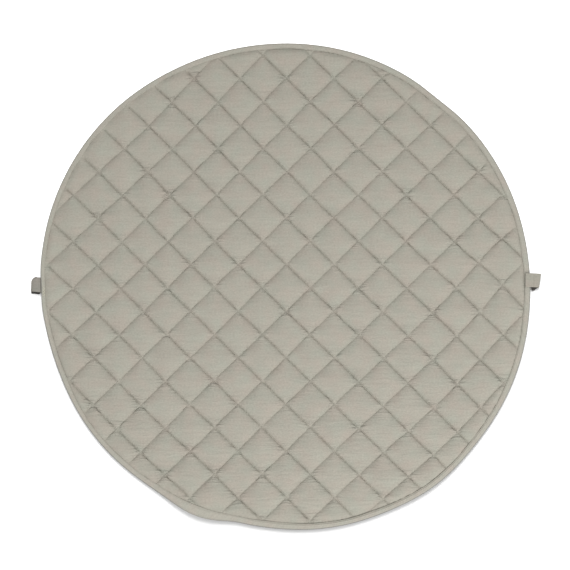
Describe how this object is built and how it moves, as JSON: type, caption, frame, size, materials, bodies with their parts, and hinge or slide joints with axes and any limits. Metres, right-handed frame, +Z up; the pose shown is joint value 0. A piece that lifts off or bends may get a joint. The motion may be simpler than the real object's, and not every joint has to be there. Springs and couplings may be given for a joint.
{
  "type": "baby play mat",
  "caption": "Round quilted cotton play mat with diamond stitching, a bound edge and a flat folded tape loop at each side, lying face up on the floor",
  "frame": {"origin": "on the floor under the middle of the mat", "axes": "+Z up out of the quilted face, +X towards the loop at 3 o'clock, +Y towards 12 o'clock"},
  "size_m": [1.0424, 0.9928, 0.0141],
  "materials": {
    "quilted_cotton": "matt plain-weave cotton in a grey sage beige, quilted over wadding",
    "binding_cotton": "matt plain-weave cotton cut on the bias, folded and edge stitched",
    "loop_tape": "matt woven tape, a little darker and closer than the mat's cloth"
  },
  "bodies": {
    "root": {"quilted_panel": "quilted_cotton", "edge_binding": "binding_cotton", "loop_left": "loop_tape", "loop_right": "loop_tape"}
  },
  "joints": []
}
